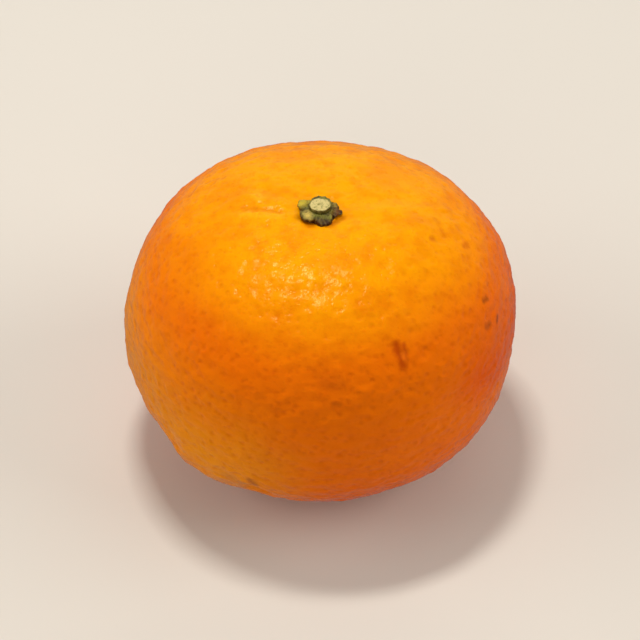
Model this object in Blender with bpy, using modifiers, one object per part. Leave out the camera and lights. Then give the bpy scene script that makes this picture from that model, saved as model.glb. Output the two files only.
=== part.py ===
# A whole mandarin standing on its blossom end, with the dried calyx and the cut stem stub on top.
# Metres, +Z up. The origin is the centre of the flat spot that the fruit rests on.

import math

import bmesh
import bpy

# The fruit, a single grown body
FRUIT_WIDTH = 0.0660            # across the widest ring
FRUIT_HEIGHT = 0.0495           # resting plane to the top of the shoulder, before the stem hollow
WIDEST_HEIGHT = 0.0241          # resting plane to the widest ring
SHOULDER_FULLNESS = 2.45        # power of the outline's curve: 2 is an ellipse, more is squarer
BASE_FULLNESS = 2.50
REST_FLAT_DIAMETER = 0.0160     # the small flat spot under the fruit
STEM_HOLLOW_DEPTH = 0.0009      # how far the peel dips round the stem
STEM_HOLLOW_RADIUS = 0.0085

# The calyx, the five-lobed button left where the fruit hung
CALYX_WIDTH = 0.0080            # across the lobe tips
CALYX_NOTCH_DIAMETER = 0.0052   # across the notches between the lobes
CALYX_LOBES = 5
CALYX_TURN = math.radians(3.0)  # direction of the first lobe from +X
CALYX_THICKNESS = 0.0008        # at its middle
CALYX_TIP_THICKNESS = 0.0005

# The stem stub, cut off short above the calyx
STEM_STUB_DIAMETER = 0.0038
STEM_STUB_FOOT_DIAMETER = 0.0041
STEM_STUB_HEIGHT = 0.0008
STEM_STUB_EDGE = 0.00015        # rounding of the cut end

SEAT_GAP = 0.0003               # between pieces that sit on each other

# How finely the turned shapes are faceted
TURN_STEPS = 64
WELD_DISTANCE = 0.00005         # for points that meet on the axis or at a cap
SHOULDER_POINTS = 20
BASE_POINTS = 16
CROWDING = 1.3                  # above 1, the shoulder's points crowd round the stem hollow
CALYX_PROFILE_POINTS = 6
POINTS_PER_LOBE = 12
STUB_SIDES = 24


def clear_scene():
    for thing in list(bpy.data.objects):
        bpy.data.objects.remove(thing, do_unlink=True)


def new_collection(name):
    collection = bpy.data.collections.new(name)
    bpy.context.scene.collection.children.link(collection)
    return collection


def plain_material(name, colour, roughness):
    material = bpy.data.materials.new(name)
    material.use_nodes = True
    shader = material.node_tree.nodes["Principled BSDF"]
    shader.inputs["Base Color"].default_value = (*colour, 1.0)
    shader.inputs["Roughness"].default_value = roughness
    shader.inputs["Metallic"].default_value = 0.0
    return material


def superellipse(share, fullness):
    """Height of a unit superellipse above its widest line, at a share of its radius."""
    return max(0.0, 1.0 - share ** fullness) ** (1.0 / fullness)


def stem_end_height(radius):
    """Height of the peel's upper side at a distance from the axis."""
    share = min(1.0, radius / (FRUIT_WIDTH / 2))
    rise = (FRUIT_HEIGHT - WIDEST_HEIGHT) * superellipse(share, SHOULDER_FULLNESS)
    hollow = STEM_HOLLOW_DEPTH * math.exp(-(radius / STEM_HOLLOW_RADIUS) ** 2)
    return WIDEST_HEIGHT + rise - hollow


def shoulder_profile():
    """Points from the bottom of the stem hollow out to the widest ring."""
    points = []
    for step in range(SHOULDER_POINTS):
        turn = math.pi / 2 * (step / SHOULDER_POINTS) ** CROWDING
        radius = FRUIT_WIDTH / 2 * math.sin(turn) ** (2 / SHOULDER_FULLNESS)
        points.append((radius, stem_end_height(radius)))
    return points


def base_profile():
    """Points from the widest ring down and in to the edge of the flat spot."""
    rest_share = REST_FLAT_DIAMETER / FRUIT_WIDTH
    full_drop = WIDEST_HEIGHT / superellipse(rest_share, BASE_FULLNESS)
    last_turn = math.pi - math.asin(rest_share ** (BASE_FULLNESS / 2))
    points = []
    for step in range(BASE_POINTS):
        turn = math.pi / 2 + (last_turn - math.pi / 2) * step / BASE_POINTS
        share = math.sin(turn) ** (2 / BASE_FULLNESS)
        drop = full_drop * superellipse(share, BASE_FULLNESS)
        points.append((FRUIT_WIDTH / 2 * share, WIDEST_HEIGHT - drop))
    points.append((REST_FLAT_DIAMETER / 2, 0.0))
    return points


def turned(name, profile, collection):
    """Turn a profile at +X, given from top to bottom of its outer side, about the Z axis."""
    mesh = bpy.data.meshes.new(name)
    edges = [(point, point + 1) for point in range(len(profile) - 1)]
    mesh.from_pydata([(radius, 0.0, height) for radius, height in profile], edges, [])
    piece = bpy.data.objects.new(name, mesh)
    collection.objects.link(piece)
    screw = piece.modifiers.new("turn", "SCREW")
    screw.axis = "Z"
    screw.steps = TURN_STEPS
    screw.render_steps = TURN_STEPS
    screw.use_merge_vertices = True
    screw.merge_threshold = WELD_DISTANCE
    screw.use_smooth_shade = True
    return piece


def build_fruit(collection):
    profile = shoulder_profile() + base_profile() + [(0.0, 0.0)]
    fruit = turned("fruit", profile, collection)
    fruit.data.materials.append(plain_material("mandarin peel", (0.85, 0.23, 0.01), 0.42))


def calyx_height(radius):
    """Height of the calyx's upper side: a flat seat for the stub, then a fall to the tips."""
    seat = STEM_STUB_FOOT_DIAMETER / 2
    beyond = max(0.0, radius - seat)
    fall = (CALYX_THICKNESS - CALYX_TIP_THICKNESS) * min(1.0, beyond / (CALYX_WIDTH / 2 - seat))
    return stem_end_height(seat + beyond) + SEAT_GAP + CALYX_THICKNESS - fall


def calyx_blank(collection):
    """A round button whose underside lies on the peel, a little wider than the lobe tips."""
    rim = CALYX_WIDTH / 2 + SEAT_GAP
    radii = [rim * step / CALYX_PROFILE_POINTS for step in range(CALYX_PROFILE_POINTS + 1)]
    top = [(radius, calyx_height(radius)) for radius in radii]
    under = [(radius, stem_end_height(radius) + SEAT_GAP) for radius in reversed(radii)]
    return turned("calyx", top + under, collection)


def lobed_cutter(collection):
    """The five-lobed outline of the calyx, drawn as a flat curve and made a tall prism."""
    count = CALYX_LOBES * POINTS_PER_LOBE
    notch = CALYX_NOTCH_DIAMETER / 2
    reach = CALYX_WIDTH / 2 - notch
    outline = bpy.data.curves.new("calyx outline", "CURVE")
    outline.dimensions = "2D"
    outline.fill_mode = "BOTH"
    outline.extrude = STEM_HOLLOW_DEPTH + CALYX_THICKNESS + 4 * SEAT_GAP
    spline = outline.splines.new("POLY")
    spline.points.add(count - 1)
    spline.use_cyclic_u = True
    for index, point in enumerate(spline.points):
        turn = 2 * math.pi * index / count
        radius = notch + reach * (0.5 + 0.5 * math.cos(CALYX_LOBES * (turn - CALYX_TURN)))
        point.co = (radius * math.cos(turn), radius * math.sin(turn), 0.0, 1.0)
    drawn = bpy.data.objects.new("calyx outline", outline)
    collection.objects.link(drawn)
    drawn.location.z = stem_end_height(0.0)
    bpy.context.view_layer.update()

    mesh = bpy.data.meshes.new_from_object(drawn.evaluated_get(bpy.context.evaluated_depsgraph_get()))
    welded = bmesh.new()
    welded.from_mesh(mesh)
    bmesh.ops.remove_doubles(welded, verts=welded.verts, dist=WELD_DISTANCE)
    bmesh.ops.recalc_face_normals(welded, faces=welded.faces)
    welded.to_mesh(mesh)
    welded.free()
    cutter = bpy.data.objects.new("calyx lobes", mesh)
    cutter.matrix_world = drawn.matrix_world
    collection.objects.link(cutter)
    bpy.data.objects.remove(drawn, do_unlink=True)
    cutter.hide_render = True
    cutter.display_type = "WIRE"
    return cutter


def build_calyx(collection, cutters):
    calyx = calyx_blank(collection)
    trim = calyx.modifiers.new("lobes", "BOOLEAN")
    trim.operation = "INTERSECT"
    trim.object = lobed_cutter(cutters)
    calyx.data.materials.append(plain_material("dried calyx", (0.15, 0.14, 0.02), 0.75))


def build_stem_stub(collection):
    shape = bmesh.new()
    bmesh.ops.create_cone(
        shape,
        cap_ends=True,
        segments=STUB_SIDES,
        radius1=STEM_STUB_FOOT_DIAMETER / 2,
        radius2=STEM_STUB_DIAMETER / 2,
        depth=STEM_STUB_HEIGHT,
    )
    mesh = bpy.data.meshes.new("stem_stub")
    shape.to_mesh(mesh)
    shape.free()
    stub = bpy.data.objects.new("stem_stub", mesh)
    stub.location.z = calyx_height(0.0) + SEAT_GAP + STEM_STUB_HEIGHT / 2
    collection.objects.link(stub)
    edge = stub.modifiers.new("worn edge", "BEVEL")
    edge.width = STEM_STUB_EDGE
    edge.segments = 2
    edge.limit_method = "ANGLE"
    edge.angle_limit = math.radians(50)
    stub.data.materials.append(plain_material("cut stem", (0.58, 0.56, 0.22), 0.75))


clear_scene()
mandarin = new_collection("mandarin")
cutting_shapes = new_collection("cutters")
build_fruit(mandarin)
build_calyx(mandarin, cutting_shapes)
build_stem_stub(mandarin)
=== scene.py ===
import math

import bpy
from mathutils import Matrix, Vector


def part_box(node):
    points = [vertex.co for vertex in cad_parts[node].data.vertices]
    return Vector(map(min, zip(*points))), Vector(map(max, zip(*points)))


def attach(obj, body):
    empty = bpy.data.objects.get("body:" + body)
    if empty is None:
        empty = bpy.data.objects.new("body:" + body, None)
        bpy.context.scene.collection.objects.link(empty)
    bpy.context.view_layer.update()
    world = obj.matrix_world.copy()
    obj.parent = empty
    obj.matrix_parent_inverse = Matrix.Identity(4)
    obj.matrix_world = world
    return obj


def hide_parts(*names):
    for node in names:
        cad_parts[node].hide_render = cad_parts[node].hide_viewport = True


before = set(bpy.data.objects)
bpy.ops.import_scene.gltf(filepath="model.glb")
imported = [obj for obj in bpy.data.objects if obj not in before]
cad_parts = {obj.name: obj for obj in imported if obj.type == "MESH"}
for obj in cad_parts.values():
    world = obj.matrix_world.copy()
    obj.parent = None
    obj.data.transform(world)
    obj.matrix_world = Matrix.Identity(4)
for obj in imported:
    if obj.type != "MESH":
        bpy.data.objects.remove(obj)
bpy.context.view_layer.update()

# ------------------------------------------------------------------------------------------------
# THE PEEL
# The outside of the fruit: a waxy rind full of oil glands, grown as one skin over the segments.
# It swells and dips a little as fruit does, is drawn in round the stem, and stands on a flat spot.

MM = 0.001
FINENESS = 7                    # subdivisions of a cube: points about 0.4 mm apart
GLAND_SPACING = 1.5 * MM        # from the middle of one dimple over an oil gland to the next
GLAND_DEPTH = 0.11 * MM
SMALL_SPACING = 0.75 * MM       # the same for the smaller glands between them
PEBBLE_SIZE = 2.4 * MM          # of the bumps that break up the gloss
PEBBLE_HEIGHT = 0.60 * MM       # of the noise between its extremes, which it seldom reaches
PEBBLE_SQUAT = (1.0, 1.0, 1.5)  # wider than they are tall
WRINKLE_SIZE = 4.5 * MM         # of the longer bumps that lie level round the sides
WRINKLE_HEIGHT = 0.24 * MM
WRINKLE_SQUAT = (1.0, 1.0, 3.0)
LUMP_SIZE = 8 * MM              # of the unevenness that the peel grew with
LUMP_HEIGHT = 0.44 * MM
SEGMENTS = 11                   # their backs show faintly as folds round the fruit's two ends
FOLD_HEIGHT = 0.06 * MM
FLAT_EDGE = 1.6 * MM            # height above the table at which the peel is free of the flat spot
GRAIN_SIZE = 0.40 * MM          # of the finest grain, which is bump only
GRAIN_HEIGHT = 0.022 * MM
GLAND_BUMP = 0.03 * MM          # depth of the bump in the middle of a dimple
SMALL_BUMP = 0.028 * MM
SUN_AND_LIGHT_SIDE = (0.02, 0.06, 1.0)     # nearly straight above: where the sun stood over the growing fruit, and where the light painted into the rind comes from

fruit_low, fruit_high = (Vector(corner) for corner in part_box("fruit"))
fruit_middle = (fruit_low + fruit_high) / 2
fruit_size = fruit_high - fruit_low


def add_node(tree, kind, inputs=None, **settings):
    """Adds one node with its settings. An input is a value, a socket, or a node to take from."""
    node = tree.nodes.new(kind)
    for name, value in settings.items():
        setattr(node, name, value)
    for place, value in (inputs or {}).items():
        if isinstance(value, bpy.types.Node):
            value = next(socket for socket in value.outputs if socket.enabled)
        if isinstance(value, bpy.types.NodeSocket):
            tree.links.new(value, node.inputs[place])
        else:
            node.inputs[place].default_value = value
    return node


def weighted(tree, start, terms):
    """A start value plus each socket times its amount."""
    total = start
    for socket, amount in terms:
        inputs = {0: socket, 1: amount, 2: total}
        total = add_node(tree, "ShaderNodeMath", inputs, operation="MULTIPLY_ADD")
    return total


def wobbled(tree, position, wander, size):
    """The position, moved about by up to half the wander, in patches of that size."""
    patches = {"Vector": position, "Scale": 1 / size, "Detail": 2.0}
    drift = add_node(tree, "ShaderNodeTexNoise", patches)
    parts = {0: drift.outputs["Color"], 1: (wander,) * 3, 2: (-wander / 2,) * 3}
    shift = add_node(tree, "ShaderNodeVectorMath", parts, operation="MULTIPLY_ADD")
    return add_node(tree, "ShaderNodeVectorMath", {0: position, 1: shift}, operation="ADD")


def eased(tree, value, start, end):
    """0 where the value is at the start, 1 where it is at the end, and smooth between."""
    span = {"Value": value, "From Min": start, "From Max": end}
    return add_node(tree, "ShaderNodeMapRange", span, interpolation_type="SMOOTHSTEP")


def near_stroke(tree, position, ends, reach):
    """1 on the stroke between two points, falling smoothly to 0 at that reach from it."""
    start, end = ends
    way = end - start
    arm = add_node(tree, "ShaderNodeVectorMath", {0: position, 1: start}, operation="SUBTRACT")
    step = way / way.length_squared
    along = add_node(tree, "ShaderNodeVectorMath", {0: arm, 1: step}, operation="DOT_PRODUCT")
    share = add_node(tree, "ShaderNodeClamp", {"Value": along})
    nearest = add_node(tree, "ShaderNodeVectorMath", {0: way, "Scale": share}, operation="SCALE")
    gap = add_node(tree, "ShaderNodeVectorMath", {0: arm, 1: nearest}, operation="DISTANCE")
    return eased(tree, gap, reach, 0.0)


def subdivide(piece, name, levels):
    """Adds a subdivision surface of that many levels."""
    modifier = piece.modifiers.new(name, "SUBSURF")
    modifier.levels = levels
    modifier.render_levels = levels


def apply_modifiers(piece):
    """Leaves the piece with its modifiers' result as its own mesh."""
    bpy.ops.object.select_all(action="DESELECT")
    piece.select_set(True)
    bpy.context.view_layer.objects.active = piece
    for modifier in list(piece.modifiers):
        bpy.ops.object.modifier_apply(modifier=modifier.name)


def relief(piece, name, draw_height):
    """Moves the piece's surface along its normals by the height, in metres, that draw_height makes."""
    tree = bpy.data.node_groups.new(name, "GeometryNodeTree")
    tree.interface.new_socket("Geometry", in_out="INPUT", socket_type="NodeSocketGeometry")
    tree.interface.new_socket("Geometry", in_out="OUTPUT", socket_type="NodeSocketGeometry")
    start = add_node(tree, "NodeGroupInput")
    position = add_node(tree, "GeometryNodeInputPosition")
    normal = add_node(tree, "GeometryNodeInputNormal")
    height = draw_height(tree, position)
    offset = add_node(tree, "ShaderNodeVectorMath", {0: normal, "Scale": height}, operation="SCALE")
    moved = add_node(tree, "GeometryNodeSetPosition", {"Geometry": start, "Offset": offset})
    add_node(tree, "NodeGroupOutput", {0: moved})
    piece.modifiers.new(name, "NODES").node_group = tree
    apply_modifiers(piece)


# The frame's turned fruit, welded and rounded, is the form that a finely divided ball is drawn onto.
bpy.ops.object.select_all(action="DESELECT")
form = bpy.data.objects.new("peel form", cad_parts["fruit"].data.copy())
bpy.context.scene.collection.objects.link(form)
form.select_set(True)
bpy.context.view_layer.objects.active = form
bpy.ops.object.mode_set(mode="EDIT")
bpy.ops.mesh.select_all(action="SELECT")
bpy.ops.mesh.remove_doubles(threshold=0.01 * MM)
bpy.ops.mesh.tris_convert_to_quads(face_threshold=math.radians(40), shape_threshold=math.radians(40))
bpy.ops.object.mode_set(mode="OBJECT")
subdivide(form, "rounding", 2)

bpy.ops.object.select_all(action="DESELECT")
bpy.ops.mesh.primitive_cube_add(size=2.0)
peel = bpy.context.object
peel.name = "peel"
subdivide(peel, "fine", FINENESS)
ball = peel.modifiers.new("ball", "CAST")
ball.cast_type = "SPHERE"
ball.factor = 1.0
ball.use_radius_as_size = False
ball.size = 1.0
apply_modifiers(peel)
bpy.ops.object.mode_set(mode="EDIT")
bpy.ops.mesh.select_all(action="SELECT")
bpy.ops.transform.resize(value=fruit_size / 2)
bpy.ops.transform.translate(value=fruit_middle)
bpy.ops.object.mode_set(mode="OBJECT")
drawn = peel.modifiers.new("drawn onto the form", "SHRINKWRAP")
drawn.target = form
drawn.wrap_method = "NEAREST_SURFACEPOINT"
smoothed = peel.modifiers.new("smoothed", "SMOOTH")
smoothed.factor = 0.5
smoothed.iterations = 12
apply_modifiers(peel)
bpy.data.objects.remove(form, do_unlink=True)


def on_peel(turn, rise):
    """The peel's point that way from the fruit's middle: degrees round from +X, degrees above level."""
    turn, rise = math.radians(turn), math.radians(rise)
    aim = Vector((math.cos(turn) * math.cos(rise), math.sin(turn) * math.cos(rise), math.sin(rise)))
    return peel.ray_cast(fruit_middle, aim)[1]


# Broad swellings and flats that make this fruit's outline its own, each a stroke, its reach and height.
swellings = [
    ((on_peel(126, 34), on_peel(138, 38)), 15 * MM, 0.15 * MM),
    ((on_peel(164, 12), on_peel(160, 16)), 11 * MM, -0.35 * MM),
    ((on_peel(182, -2), on_peel(186, -6)), 9 * MM, 0.40 * MM),
    ((on_peel(224, -22), on_peel(230, -27)), 10 * MM, 0.68 * MM),
    ((on_peel(212, -18), on_peel(214, -20)), 5 * MM, -0.45 * MM),
    ((on_peel(244, -30), on_peel(248, -32)), 8 * MM, -0.30 * MM),
    ((on_peel(270, -33), on_peel(292, -30)), 11 * MM, -0.36 * MM),
    ((on_peel(6, 3), on_peel(16, 8)), 12 * MM, 0.50 * MM),
    ((on_peel(20, 20), on_peel(40, 28)), 14 * MM, 0.35 * MM),
    ((on_peel(78, 40), on_peel(96, 42)), 13 * MM, -0.40 * MM),
]
# Small dents from twigs and from its neighbours, each a stroke, its reach and its depth.
dents = [
    ((on_peel(-112, -21), on_peel(-108, -23)), 2.8 * MM, 0.75 * MM),
    ((on_peel(-140, -12), on_peel(-139, -14)), 2.4 * MM, 0.45 * MM),
    ((on_peel(-152, -24), on_peel(-146, -27)), 3.2 * MM, 0.40 * MM),
    ((on_peel(60, 8), on_peel(66, 16)), 3.5 * MM, 0.40 * MM),
    ((on_peel(131, -18), on_peel(140, -14)), 3.0 * MM, 0.50 * MM),
    ((on_peel(10, -25), on_peel(22, -20)), 3.6 * MM, 0.45 * MM),
]
# Marks of its life on the tree, each a stroke from one place on the peel to another.
crease = (on_peel(174, 62), on_peel(178, 75))
crease_lip = (on_peel(181, 62), on_peel(192, 74))
wart = (on_peel(158, 65), on_peel(160, 66))
twig_scar = (on_peel(-63.0, 32.8), on_peel(-62.6, 26.0))
style_scar = (on_peel(0, -90), on_peel(0, -89.5))


def rays(tree, position, count):
    """That many rays fanning out from the fruit's axis: 1 along each, -1 midway between two."""
    parts = add_node(tree, "ShaderNodeSeparateXYZ", {0: position})
    across = {0: parts.outputs[1], 1: parts.outputs[0]}
    turn = add_node(tree, "ShaderNodeMath", across, operation="ARCTAN2")
    turns = add_node(tree, "ShaderNodeMath", {0: turn, 1: float(count)}, operation="MULTIPLY")
    return add_node(tree, "ShaderNodeMath", {0: turns}, operation="COSINE")


def growth(tree, position):
    """How far the grown fruit stands out from its turned form."""
    lumpy = {"Vector": position, "Scale": 1 / LUMP_SIZE, "Detail": 1.5}
    lumps = add_node(tree, "ShaderNodeTexNoise", lumpy)
    folds = rays(tree, wobbled(tree, position, 2.4 * MM, 9 * MM), SEGMENTS)
    levelled = {0: position, 1: (1.0, 1.0, 0.0)}
    flat = add_node(tree, "ShaderNodeVectorMath", levelled, operation="MULTIPLY")
    radius = add_node(tree, "ShaderNodeVectorMath", {0: flat}, operation="LENGTH")
    # the folds show round the fruit's two ends, and fade out towards its sides and its axis
    inside = eased(tree, radius, 22 * MM, 7 * MM)
    outside = eased(tree, radius, 2.5 * MM, 6 * MM)
    folded = add_node(tree, "ShaderNodeMath", {0: folds, 1: inside}, operation="MULTIPLY")
    folded = add_node(tree, "ShaderNodeMath", {0: folded, 1: outside}, operation="MULTIPLY")
    bent = wobbled(tree, position, 1.6 * MM, 4 * MM)
    terms = [
        (lumps, LUMP_HEIGHT),
        (folded, FOLD_HEIGHT),
        (near_stroke(tree, bent, crease, 1.2 * MM), -0.24 * MM),
        (near_stroke(tree, bent, crease_lip, 1.6 * MM), 0.14 * MM),
        (near_stroke(tree, bent, wart, 1.5 * MM), 0.24 * MM),
        (near_stroke(tree, bent, wart, 0.7 * MM), -0.22 * MM),
        (near_stroke(tree, bent, twig_scar, 1.0 * MM), -0.12 * MM),
    ]
    terms += [(near_stroke(tree, bent, ends, reach), -depth) for ends, reach, depth in dents]
    terms += [(near_stroke(tree, position, ends, reach), rise) for ends, reach, rise in swellings]
    height = weighted(tree, -LUMP_HEIGHT / 2, terms)
    # nothing grows out of the spot that the fruit stands on, except the style scar inside it
    level = add_node(tree, "ShaderNodeSeparateXYZ", {0: position}).outputs[2]
    free = eased(tree, level, 0.2 * MM, FLAT_EDGE + 4 * MM)
    height = add_node(tree, "ShaderNodeMath", {0: height, 1: free}, operation="MULTIPLY")
    hollow = (near_stroke(tree, position, style_scar, 1.5 * MM), -0.45 * MM)
    stump = (near_stroke(tree, position, style_scar, 0.9 * MM), 0.30 * MM)
    return weighted(tree, height, [hollow, stump])


def gland_dimples(tree, position, spacing):
    """1 in the middle of the dimple over each oil gland, 0 on the skin between."""
    bent = wobbled(tree, position, 0.5 * spacing, 1.5 * spacing)
    cells = {"Vector": bent, "Scale": 1 / spacing, "Randomness": 0.8}
    return eased(tree, add_node(tree, "ShaderNodeTexVoronoi", cells), 0.48, 0.08)


def pebbling(tree, position):
    """The rind's fine relief: dimples over the glands in pebbled skin, wrinkled round the sides."""
    squat = add_node(tree, "ShaderNodeVectorMath", {0: position, 1: PEBBLE_SQUAT}, operation="MULTIPLY")
    pebbles = {"Vector": squat, "Scale": 1 / PEBBLE_SIZE, "Detail": 1.5, "Roughness": 0.5}
    pebble = add_node(tree, "ShaderNodeTexNoise", pebbles)
    flatter = {0: position, 1: WRINKLE_SQUAT}
    flattened = add_node(tree, "ShaderNodeVectorMath", flatter, operation="MULTIPLY")
    wrinkles = {"Vector": flattened, "Scale": 1 / WRINKLE_SIZE, "Detail": 1.0}
    wrinkle = add_node(tree, "ShaderNodeTexNoise", wrinkles)
    terms = [
        (pebble, PEBBLE_HEIGHT),
        (wrinkle, WRINKLE_HEIGHT),
        (gland_dimples(tree, position, GLAND_SPACING), -GLAND_DEPTH),
    ]
    height = weighted(tree, -(PEBBLE_HEIGHT + WRINKLE_HEIGHT) / 2, terms)
    level = add_node(tree, "ShaderNodeSeparateXYZ", {0: position}).outputs[2]
    free = eased(tree, level, 0.1 * MM, FLAT_EDGE)
    return add_node(tree, "ShaderNodeMath", {0: height, 1: free}, operation="MULTIPLY")


relief(peel, "growth", growth)
relief(peel, "pebbling", pebbling)
bpy.ops.object.shade_smooth()


def linear(colour):
    """An sRGB hex colour as the linear colour that a shader takes."""
    parts = [int(colour[place:place + 2], 16) / 255 for place in (0, 2, 4)]
    channels = [part / 12.92 if part <= 0.04045 else ((part + 0.055) / 1.055) ** 2.4 for part in parts]
    return channels + [1.0]


def tinted(tree, under, cover, colour, strength=1.0):
    """The colour under, covered by another where the cover is 1, as strongly as the strength says."""
    amount = add_node(tree, "ShaderNodeMath", {0: cover, 1: strength}, operation="MULTIPLY")
    inputs = {0: amount, 6: under, 7: linear(colour)}
    return add_node(tree, "ShaderNodeMix", inputs, data_type="RGBA")


def begin_material(name):
    """A material, its node tree, and the Object coordinates that its patterns follow."""
    material = bpy.data.materials.new(name)
    material.use_nodes = True
    place = add_node(material.node_tree, "ShaderNodeTexCoord").outputs["Object"]
    return material, material.node_tree, place


def finish_with(piece, material):
    """Leaves the piece with that material and no other."""
    piece.data.materials.clear()
    piece.data.materials.append(material)


# Blemishes in the skin, each a stroke, its reach, its colour and its strength.
blemishes = [
    # beside the stem: the crease's dark line and the wart's darker middle are painted shade in their
    # hollows, and the lip and the wart's paler ring are painted highlights on their rises
    (crease, 1.0 * MM, "C45A06", 0.38),
    (crease_lip, 1.3 * MM, "FFB41C", 0.30),
    (wart, 1.5 * MM, "FFBC2C", 0.35),
    (wart, 0.6 * MM, "D96A0C", 0.50),
    # the twig scar, and the paler skin that has healed inside it
    (twig_scar, 1.25 * MM, "B84604", 1.00),
    ((on_peel(-60.4, 31.4), on_peel(-60.8, 28.2)), 0.9 * MM, "BE4C06", 1.00),
    ((on_peel(-61.5, 29.4), on_peel(-61.4, 28.0)), 0.75 * MM, "E06A0E", 0.85),
    # brown specks and scuffs
    ((on_peel(-13, 49.5), on_peel(-12, 49.0)), 1.0 * MM, "C25508", 0.60),
    ((on_peel(-6, 46), on_peel(-4, 47)), 1.0 * MM, "C85C0A", 0.45),
    ((on_peel(0, 48), on_peel(2, 49)), 1.2 * MM, "CC600A", 0.35),
    ((on_peel(-7, 39), on_peel(-5, 38)), 1.0 * MM, "BE5208", 0.50),
    ((on_peel(-22, 26.5), on_peel(-20, 26)), 0.9 * MM, "8A3A08", 0.75),
    ((on_peel(-20, 19), on_peel(-21, 18)), 0.8 * MM, "8A3A08", 0.70),
    ((on_peel(-27, 20.5), on_peel(-25, 20)), 1.0 * MM, "9A420A", 0.60),
    ((on_peel(-89, 25.5), on_peel(-84, 25.0)), 2.2 * MM, "B04A08", 0.30),
    ((on_peel(-86, 19), on_peel(-84, 19)), 0.8 * MM, "A84408", 0.45),
    ((on_peel(-111, -14.5), on_peel(-110, -16)), 1.3 * MM, "8F4A14", 0.65),
    ((on_peel(-118, -17), on_peel(-114, -20)), 2.2 * MM, "B87424", 0.40),
    ((on_peel(150, 20), on_peel(146, 12)), 1.0 * MM, "A84A0C", 0.55),
    ((on_peel(95, 30), on_peel(97, 28)), 0.8 * MM, "9A4410", 0.60),
    ((on_peel(40, -10), on_peel(46, -6)), 1.5 * MM, "B5621A", 0.45),
    # painted shadow of the calyx, falling on the peel in front of it, with a little brown stain
    ((on_peel(-160, 81.2), on_peel(-114, 81.6)), 1.1 * MM, "A04402", 0.60),
    ((on_peel(-68, 81.6), on_peel(-22, 81.0)), 1.1 * MM, "A04402", 0.60),
    # the style scar: a tan ring, the dark corky spot inside it and the paler stump in the middle
    (style_scar, 3.4 * MM, "C27A1C", 0.50),
    (style_scar, 1.7 * MM, "5A3A1C", 0.90),
    (style_scar, 0.8 * MM, "A98F66", 0.90),
]

# Fresh citrus rind, waxed: saturated orange, mottled and blotched as it ripened, yellower towards the
# stem end, partly sun-ripened and partly painted light from above, and deeper towards the base, partly
# deeper peel and partly painted shade. One side carries a painted shadow and red reflection of a
# neighbouring fruit, and a greenish yellow flush is left low on the other. It is a little deeper in the
# dimples, where the oil glands lie under the skin, and its soft gloss is broken up by the pebbling.
rind, tree, place = begin_material("waxed mandarin rind")
uneven = wobbled(tree, place, 4 * MM, 20 * MM)
towards_sun_and_light = add_node(tree, "ShaderNodeVectorMath", {0: uneven, 1: SUN_AND_LIGHT_SIDE}, operation="DOT_PRODUCT")
# painted light: the rind grows yellower towards the top, partly as sun-ripened peel and partly as light
# from above painted into its colour
sun_yellow_and_painted_light = eased(tree, towards_sun_and_light.outputs["Value"], fruit_high.z - 11.2 * MM, fruit_high.z + 0.9 * MM)
deep_base_and_painted_shade = eased(tree, towards_sun_and_light.outputs["Value"], fruit_low.z + 24 * MM, fruit_low.z + 6 * MM)
skin = tinted(tree, linear("E56B03"), sun_yellow_and_painted_light, "F49E02")
mottle = add_node(tree, "ShaderNodeTexNoise", {"Vector": place, "Scale": 1 / (7 * MM), "Detail": 3.0})
skin = tinted(tree, skin, eased(tree, mottle, 0.42, 0.72), "DA5E03", 0.28)
blotches = add_node(tree, "ShaderNodeTexNoise", {"Vector": place, "Scale": 1 / (3 * MM), "Detail": 2.0})
skin = tinted(tree, skin, eased(tree, blotches, 0.46, 0.68), "CC5602", 0.22)
# painted shade: deeper orange towards the base, partly the peel's own colour and partly shade painted in
skin = tinted(tree, skin, deep_base_and_painted_shade, "DA5802", 0.55)
drifting = wobbled(tree, place, 8 * MM, 9 * MM)
flush = near_stroke(tree, drifting, (on_peel(-178, 2), on_peel(-123, -14)), 23 * MM)
skin = tinted(tree, skin, flush, "E0900A", 0.72)
# a painted shadow and red reflection, as a neighbouring fruit would throw them, low on one side
painted_neighbour_shadow = near_stroke(tree, drifting, (on_peel(-32, 9), on_peel(2, 4)), 11 * MM)
skin = tinted(tree, skin, painted_neighbour_shadow, "D84E02", 0.80)
# the dimples' tint fades towards the yellow top, where light is painted in
dimples = gland_dimples(tree, place, GLAND_SPACING)
shown = weighted(tree, 1.0, [(sun_yellow_and_painted_light, -0.70)])
dimples_shown = add_node(tree, "ShaderNodeMath", {0: dimples, 1: shown}, operation="MULTIPLY")
skin = tinted(tree, skin, dimples_shown, "C24E06", 0.26)
small_dimples = gland_dimples(tree, place, SMALL_SPACING)
skin = tinted(tree, skin, small_dimples, "CC5A08", 0.12)
streaks = {"Vector": place, "Scale": 1 / (11 * MM), "Detail": 6.0, "Roughness": 0.7}
russet = add_node(tree, "ShaderNodeTexNoise", streaks)
skin = tinted(tree, skin, eased(tree, russet, 0.64, 0.74), "B86A20", 0.35)
frayed = wobbled(tree, place, 0.9 * MM, 1.2 * MM)
for ends, reach, colour, strength in blemishes:
    skin = tinted(tree, skin, near_stroke(tree, frayed, ends, reach), colour, strength)
shader = tree.nodes["Principled BSDF"]
tree.links.new(skin.outputs[2], shader.inputs["Base Color"])
waxing = {"Value": mottle, "From Min": 0.3, "From Max": 0.7, "To Min": 0.20, "To Max": 0.27}
gloss = add_node(tree, "ShaderNodeMapRange", waxing)
tree.links.new(gloss.outputs[0], shader.inputs["Roughness"])
shader.inputs["Specular IOR Level"].default_value = 0.11
shader.inputs["Specular Tint"].default_value = linear("FFD890")
shader.inputs["Subsurface Weight"].default_value = 0.10
shader.inputs["Subsurface Radius"].default_value = (1.0, 0.30, 0.05)
shader.inputs["Subsurface Scale"].default_value = 1.2 * MM
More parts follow.
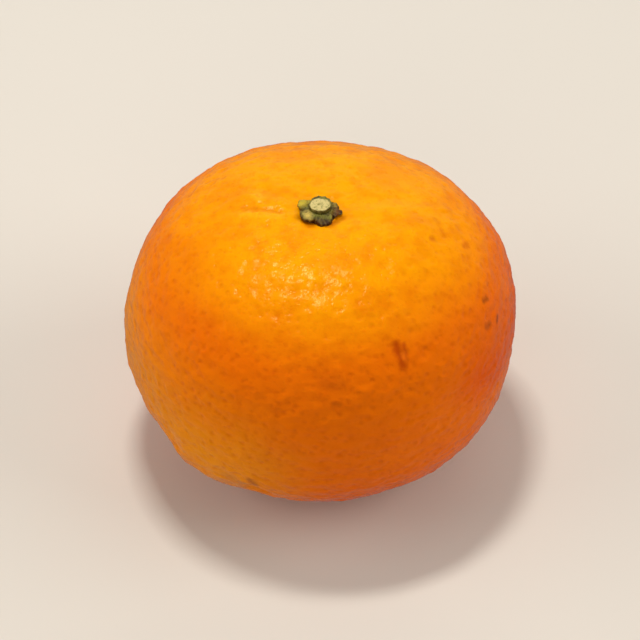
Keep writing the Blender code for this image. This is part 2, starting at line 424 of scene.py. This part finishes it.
grain = add_node(tree, "ShaderNodeTexNoise", {"Vector": place, "Scale": 1 / GRAIN_SIZE, "Detail": 2.0})
terms = [(grain, GRAIN_HEIGHT), (small_dimples, -SMALL_BUMP), (dimples, -GLAND_BUMP)]
bumps = {"Height": weighted(tree, 0.0, terms), "Distance": 1.0, "Strength": 1.0}
bump = add_node(tree, "ShaderNodeBump", bumps)
tree.links.new(bump.outputs[0], shader.inputs["Normal"])
finish_with(peel, rind)

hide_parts("fruit")
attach(peel, "root")

# ------------------------------------------------------------------------------------------------
# THE CALYX
# The dried green button that held the fruit to its stalk: thick sepals, one of them split in two,
# grown into one rosette round the stalk's foot. It grows from the peel, and its tips have dried
# brown, some lifted off the skin and some pressed to it.

COLLAR_RADII = (2.9, 2.15)      # at its foot and its top, in millimetres as are the sizes below,
COLLAR_HEIGHT = 1.15            # because the calyx is made a thousand times as large, then shrunk
SEPAL_ROOT = 1.3                # from the middle to where a sepal starts
SEPAL_THICKNESS = 1.0
REMESH_VOXEL = 0.08
CALYX_LEVEL = 0.50 * MM         # of the calyx's middle above the skin
KNOB_SIZE = 1.2 * MM            # of the dried skin's low knobs
KNOB_HEIGHT = 0.50 * MM
CRINKLE_SIZE = 0.4 * MM         # of its fine wrinkles
CRINKLE_HEIGHT = 0.32 * MM
CALYX_LOSS = 0.42 * MM          # drawn in as it dried: about half of what knobs and wrinkles add
VEINS = 24                      # counted all round
VEIN_HEIGHT = 0.05 * MM
FIBRE_HEIGHT = 0.06 * MM        # of the bump on dried tissue

# Each sepal's direction in degrees, reach from the middle, breadth at its root and lift of its
# tip. The first two are the halves of the split one.
sepals = [
    (-10, 3.90, 3.3, -0.05),
    (24, 3.2, 2.2, -0.15),
    (84, 3.3, 3.2, 0.0),
    (158, 3.85, 2.6, 0.30),
    (216, 3.60, 3.3, 0.12),
    (283, 3.65, 2.9, -0.10),
]
# Towards a sepal's tip: the share of the way out, of the breadth and of the thickness.
narrowing = [(0.40, 1.00, 0.95), (0.78, 0.80, 0.80), (1.0, 0.42, 0.50)]

skin_level = on_peel(0, 90).z

bpy.ops.object.select_all(action="DESELECT")
bpy.ops.mesh.primitive_cone_add(
    vertices=40,
    radius1=COLLAR_RADII[0],
    radius2=COLLAR_RADII[1],
    depth=COLLAR_HEIGHT,
)
calyx = bpy.context.object
calyx.name = "calyx_rosette"
rosette = [calyx]
for turn, reach, breadth, lift in sepals:
    bpy.ops.object.select_all(action="DESELECT")
    bpy.ops.mesh.primitive_cube_add(
        size=1.0,
        location=(SEPAL_ROOT / 2, 0, 0),
        scale=(SEPAL_ROOT, breadth, SEPAL_THICKNESS),
    )
    sepal = bpy.context.object
    bpy.ops.object.transform_apply(location=True, rotation=True, scale=True)
    for face in sepal.data.polygons:
        face.select = face.normal.x > 0.9
    bpy.ops.object.mode_set(mode="EDIT")
    bpy.ops.mesh.select_mode(type="FACE")
    out, broad, thick, raised = SEPAL_ROOT, 1.0, 1.0, 0.0
    for way, breadth_share, thickness_share in narrowing:
        next_out = SEPAL_ROOT + (reach - SEPAL_ROOT) * way
        next_raised = lift * way ** 2
        bpy.ops.mesh.extrude_region_move(
            TRANSFORM_OT_translate={"value": (next_out - out, 0, next_raised - raised)})
        bpy.ops.transform.resize(
            value=(1, breadth_share / broad, thickness_share / thick),
            center_override=(next_out, 0, next_raised),
        )
        out, broad, thick, raised = next_out, breadth_share, thickness_share, next_raised
    bpy.ops.object.mode_set(mode="OBJECT")
    sepal.data.transform(Matrix.Rotation(math.radians(turn), 4, "Z"))
    subdivide(sepal, "plump", 2)
    apply_modifiers(sepal)
    rosette.append(sepal)
bpy.ops.object.select_all(action="DESELECT")
for part in rosette:
    part.select_set(True)
bpy.context.view_layer.objects.active = calyx
bpy.ops.object.join()
grown = calyx.modifiers.new("grown together", "REMESH")
grown.mode = "VOXEL"
grown.voxel_size = REMESH_VOXEL
softened = calyx.modifiers.new("softened", "SMOOTH")
softened.factor = 0.5
softened.iterations = 5
apply_modifiers(calyx)
calyx.data.transform(Matrix.Translation((0, 0, skin_level + CALYX_LEVEL)) @ Matrix.Scale(MM, 4))


def veins(tree, position):
    """1 along the fine veins that fan out from the stalk over the sepals, 0 between them."""
    return eased(tree, rays(tree, wobbled(tree, position, 1.1 * MM, 1.0 * MM), VEINS), 0.1, 1.0)


def shrivelling(tree, position):
    """The calyx's dried skin: low knobs, fine wrinkles, and veins that stand out between them."""
    knobbed = {"Vector": position, "Scale": 1 / KNOB_SIZE, "Detail": 1.0}
    knobs = add_node(tree, "ShaderNodeTexNoise", knobbed)
    crinkled = {"Vector": position, "Scale": 1 / CRINKLE_SIZE, "Detail": 2.0}
    crinkles = add_node(tree, "ShaderNodeTexNoise", crinkled)
    terms = [(knobs, KNOB_HEIGHT), (crinkles, CRINKLE_HEIGHT), (veins(tree, position), VEIN_HEIGHT)]
    return weighted(tree, -CALYX_LOSS, terms)


relief(calyx, "shrivelling", shrivelling)
bpy.ops.object.shade_smooth()


def beside_stalk(turn, out, height):
    """A point by the calyx: degrees round from +X, millimetres from its middle and above the skin."""
    turn = math.radians(turn)
    return Vector((out * math.cos(turn) * MM, out * math.sin(turn) * MM, skin_level + height * MM))


def dry_surface(tree, place, colour, roughness, fibre_size):
    """Gives dried plant tissue its colour, its matt surface and a bump of fibres of that size."""
    shader = tree.nodes["Principled BSDF"]
    tree.links.new(colour.outputs[2], shader.inputs["Base Color"])
    shader.inputs["Roughness"].default_value = roughness
    shader.inputs["Specular IOR Level"].default_value = 0.3
    fibrous = {"Vector": place, "Scale": 1 / fibre_size, "Detail": 3.0}
    fibre = add_node(tree, "ShaderNodeTexNoise", fibrous)
    bumps = {"Height": fibre, "Distance": FIBRE_HEIGHT, "Strength": 1.0}
    bump = add_node(tree, "ShaderNodeBump", bumps)
    tree.links.new(bump.outputs[0], shader.inputs["Normal"])


# Patches on the dried sepals, each a stroke, its reach, its colour and its strength.
sepal_patches = [
    ((beside_stalk(-22, 3.0, 0.6), beside_stalk(6, 3.4, 0.6)), 1.9 * MM, "6B2E0C", 0.90),
    # a painted highlight on the smaller half of the split sepal
    ((beside_stalk(16, 2.6, 1.0), beside_stalk(30, 2.8, 1.0)), 0.8 * MM, "A6842A", 0.80),
    ((beside_stalk(276, 3.0, 0.6), beside_stalk(290, 3.6, 0.4)), 1.6 * MM, "43250A", 0.90),
    # painted shadow under the edges of the front left sepals
    ((beside_stalk(204, 3.8, 0.2), beside_stalk(258, 3.5, 0.2)), 1.5 * MM, "552206", 0.95),
    ((beside_stalk(212, 2.4, 0.9), beside_stalk(226, 2.7, 0.9)), 1.2 * MM, "DDBB58", 0.90),
    ((beside_stalk(150, 3.0, 1.1), beside_stalk(163, 3.3, 1.0)), 1.5 * MM, "C8AC28", 0.90),
    # painted shade in the notch between the two left sepals
    ((beside_stalk(180, 2.9, 0.5), beside_stalk(192, 3.1, 0.4)), 0.9 * MM, "5A3A0C", 0.85),
]

# Dried leaf tissue, matt and mottled: olive, with painted shade in the folds by the stalk, worn to
# yellow-green where it stands proud, with paler veins, dark brown in its cracks, and dark brown low
# down, at the dead tips and as painted shade underneath.
leaf, tree, place = begin_material("dried calyx tissue")
spots = add_node(tree, "ShaderNodeTexNoise", {"Vector": place, "Scale": 1 / (1.3 * MM), "Detail": 3.0})
tissue = tinted(tree, linear("524C12"), eased(tree, spots, 0.42, 0.66), "84812E")
frayed = wobbled(tree, place, 0.9 * MM, 0.9 * MM)
for ends, reach, colour, strength in sepal_patches:
    tissue = tinted(tree, tissue, near_stroke(tree, frayed, ends, reach), colour, strength)
level = add_node(tree, "ShaderNodeSeparateXYZ", {0: frayed}).outputs[2]
# dark brown low down: the dried tips' own colour, and painted shade under the sepals
dry_edges_and_painted_shade = eased(tree, level, skin_level + 1.00 * MM, skin_level + 0.40 * MM)
tissue = tinted(tree, tissue, dry_edges_and_painted_shade, "341806", 0.9)
# painted shade: the folds round the stalk's foot darkened to a deeper olive
foot = (beside_stalk(0, 0, 1.0), beside_stalk(0, 0, 1.3))
tissue = tinted(tree, tissue, near_stroke(tree, frayed, foot, 3.1 * MM), "353004", 0.85)
tissue = tinted(tree, tissue, veins(tree, place), "B09A4C", 0.15)
cracks = add_node(tree, "ShaderNodeTexNoise", {"Vector": place, "Scale": 1 / (0.35 * MM), "Detail": 4.0})
tissue = tinted(tree, tissue, eased(tree, cracks, 0.56, 0.66), "2C1C08", 0.55)
dry_surface(tree, place, tissue, 0.62, 0.22 * MM)
finish_with(calyx, leaf)

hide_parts("calyx")
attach(calyx, "root")

# ------------------------------------------------------------------------------------------------
# THE STEM STUB
# The fruit's own stalk, cut off just above the calyx: thin green-brown bark round pale wood.
# It has grown out of the calyx, and the cut face has dried, with its bark shrunk back a little.

STUB_CLEARANCE = 0.40 * MM      # between the top of its box and the face, which domes and swells
STUB_FOOT = 0.3 * MM            # height above the skin of its foot, inside the calyx
FACE_SHRINKAGE = (0.90, 0.82, 1)    # of the cut end, a little narrower than it is wide
BARK_LUMP_SIZE = 1.5 * MM
BARK_LUMP_HEIGHT = 0.50 * MM
NICK_SIZE = 0.45 * MM
NICK_HEIGHT = 0.22 * MM
STALK_LOSS = 0.38 * MM          # drawn in as it dried: about half of what lumps and nicks add

# Inwards over the cut face, each ring's breadth and rise in millimetres: the bark, the shrunken
# growing layer, the wood's slightly domed face in three rings, and its sunken pith.
rings = [(0.12, 0.0), (0.12, -0.06), (0.10, 0.05), (0.45, 0.06), (0.50, 0.03), (0.20, -0.07)]

stub_low, stub_high = (Vector(corner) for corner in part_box("stem_stub"))
stub_radius = (stub_high.x - stub_low.x) / 2
stub_top = stub_high.z - STUB_CLEARANCE
stub_depth = stub_top - skin_level - STUB_FOOT

bpy.ops.object.select_all(action="DESELECT")
bpy.ops.mesh.primitive_cylinder_add(
    vertices=32,
    radius=stub_radius,
    depth=stub_depth,
    location=(0, 0, stub_top - stub_depth / 2),
)
stub = bpy.context.object
stub.name = "stem_stub_cut"
bpy.ops.object.transform_apply(location=True, rotation=True, scale=True)
for face in stub.data.polygons:
    face.select = face.normal.z > 0.9
bpy.ops.object.mode_set(mode="EDIT")
bpy.ops.mesh.select_mode(type="FACE")
bpy.ops.transform.resize(value=FACE_SHRINKAGE, center_override=(0, 0, stub_top))
for breadth, rise in rings:
    bpy.ops.mesh.inset(thickness=breadth * MM)
    bpy.ops.transform.translate(value=(0, 0, rise * MM))
bpy.ops.object.mode_set(mode="OBJECT")
worn = stub.modifiers.new("worn edge", "BEVEL")
worn.width = 0.22 * MM
worn.segments = 3
worn.limit_method = "ANGLE"
worn.angle_limit = math.radians(40)
subdivide(stub, "rounded", 3)
apply_modifiers(stub)


def cutting(tree, position):
    """The dried stalk's unevenness, and the nicks that the cut left."""
    lumpy = {"Vector": position, "Scale": 1 / BARK_LUMP_SIZE, "Detail": 1.0}
    lumps = add_node(tree, "ShaderNodeTexNoise", lumpy)
    nicked = {"Vector": position, "Scale": 1 / NICK_SIZE, "Detail": 2.0}
    nicks = add_node(tree, "ShaderNodeTexNoise", nicked)
    return weighted(tree, -STALK_LOSS, [(lumps, BARK_LUMP_HEIGHT), (nicks, NICK_HEIGHT)])


relief(stub, "cutting", cutting)
bpy.ops.object.shade_smooth()

# Cut green wood, dried in air: dull cream with olive flecks where the vessels end and a darker
# pith, in olive-brown bark.
wood, tree, place = begin_material("dried cut stalk")
flecks = add_node(tree, "ShaderNodeTexNoise", {"Vector": place, "Scale": 1 / (0.5 * MM), "Detail": 4.0})
vessels = add_node(tree, "ShaderNodeTexVoronoi", {"Vector": place, "Scale": 1 / (0.28 * MM)})
bark = tinted(tree, linear("4A410F"), eased(tree, flecks, 0.45, 0.65), "6F6524")
face = tinted(tree, linear("CDB874"), eased(tree, flecks, 0.50, 0.66), "938A46")
face = tinted(tree, face, eased(tree, vessels, 0.34, 0.12), "857A3C", 0.55)
frayed = wobbled(tree, place, 0.6 * MM, 0.9 * MM)
cut_middle = Vector((0, 0, stub_top))
across = Vector((0.2 * MM, 0, 0))
disc = near_stroke(tree, frayed, (cut_middle - across, cut_middle + across), 1.8 * MM)
layers = {0: eased(tree, disc, 0.01, 0.15), 6: bark.outputs[2], 7: face.outputs[2]}
cut = add_node(tree, "ShaderNodeMix", layers, data_type="RGBA")
pith = near_stroke(tree, frayed, (cut_middle, cut_middle + across), 0.5 * MM)
cut = tinted(tree, cut, pith, "7D7538", 0.5)
dry_surface(tree, place, cut, 0.7, 0.2 * MM)
finish_with(stub, wood)

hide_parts("stem_stub")
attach(stub, "root")

# ------------------------------------------------------------------------------------------------
# THE TABLE, THE LIGHT AND THE CAMERA
# A plain pale table and plain soft studio light: a small lamp overhead gives the waxed rind its
# glints, and a large soft box on every side fills evenly. The boxes and the table are kept out of
# the gloss, because their white sheen greys a saturated rind at its rims.

CAMERA_RISE = math.radians(44)              # above level
CAMERA_DISTANCE = 0.50
CAMERA_AIM = Vector((0.0, 0.0, 0.0240))     # a little under the fruit's middle
LENS = 165                                  # millimetres, on the usual 36 mm wide film

bpy.ops.object.select_all(action="DESELECT")
bpy.ops.mesh.primitive_plane_add(size=6.0)
table = bpy.context.object
table.name = "table"
# Pale card, uncoated, so it is matt.
card = bpy.data.materials.new("pale matt card")
card.use_nodes = True
card.node_tree.nodes["Principled BSDF"].inputs["Base Color"].default_value = linear("D6CDBF")
card.node_tree.nodes["Principled BSDF"].inputs["Roughness"].default_value = 0.9
table.data.materials.append(card)
table.visible_glossy = False

# Each light's name, place, width, height, power in watts, and whether it shows in the gloss.
soft_boxes = [
    ("overhead", (-0.06, 0.13, 0.60), 0.12, 0.06, 2.0, True),
    ("left", (-1.0, -0.10, 0.48), 0.80, 0.80, 5.2, False),
    ("right", (1.0, -0.10, 0.62), 0.80, 0.80, 6.3, False),
    ("front", (-0.20, -1.05, 0.42), 0.80, 0.80, 2.3, False),
    ("back", (0.20, 1.05, 0.42), 0.80, 0.80, 2.7, False),
]
for name, place, width, height, watts, glossy in soft_boxes:
    light = bpy.data.lights.new(name + " soft box", "AREA")
    light.shape = "RECTANGLE"
    light.size = width
    light.size_y = height
    light.energy = watts
    lamp = bpy.data.objects.new(name + " soft box", light)
    lamp.location = place
    lamp.visible_glossy = glossy
    lamp.rotation_euler = (fruit_middle - lamp.location).to_track_quat("-Z", "Y").to_euler()
    bpy.context.scene.collection.objects.link(lamp)
world = bpy.data.worlds.new("dim room")
world.use_nodes = True
world.node_tree.nodes["Background"].inputs["Color"].default_value = linear("F2F2F4")
world.node_tree.nodes["Background"].inputs["Strength"].default_value = 0.27
bpy.context.scene.world = world
bpy.context.scene.view_settings.view_transform = "Standard"

lens = bpy.data.cameras.new("camera")
lens.lens = LENS
camera = bpy.data.objects.new("camera", lens)
outwards = Vector((0.0, -math.cos(CAMERA_RISE), math.sin(CAMERA_RISE)))
camera.location = CAMERA_AIM + CAMERA_DISTANCE * outwards
camera.rotation_euler = (CAMERA_AIM - camera.location).to_track_quat("-Z", "Y").to_euler()
bpy.context.scene.collection.objects.link(camera)
bpy.context.scene.camera = camera

bpy.context.view_layer.update()
